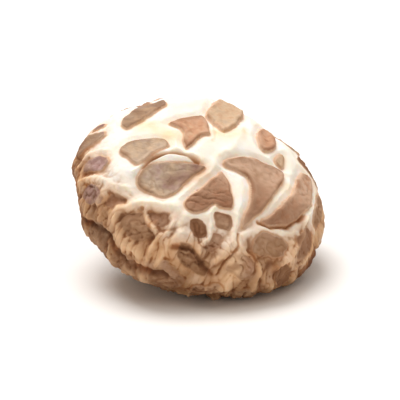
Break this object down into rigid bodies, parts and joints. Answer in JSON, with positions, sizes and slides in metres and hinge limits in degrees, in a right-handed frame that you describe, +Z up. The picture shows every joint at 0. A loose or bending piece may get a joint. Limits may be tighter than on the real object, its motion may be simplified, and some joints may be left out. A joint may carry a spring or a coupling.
{
  "type": "shiitake mushroom",
  "caption": "Dried shiitake mushroom with a cracked brown cap, a rolled-in rim, gills and a short cut stem, lying tilted on its rim and stem end.",
  "frame": {"origin": "on the surface it rests on, under the middle of its box", "axes": "+Z up from the surface; the cap leans towards -Y and +X, so its cracked crown faces the front, which is -Y; +X is to the right seen from the front"},
  "size_m": [0.0482, 0.0468, 0.0304],
  "materials": {
    "mushroom": "dry matt skin in brown plates over cream flesh, tan gills and a fibrous tan stem"
  },
  "bodies": {
    "root": {"mushroom": "mushroom"}
  },
  "joints": []
}
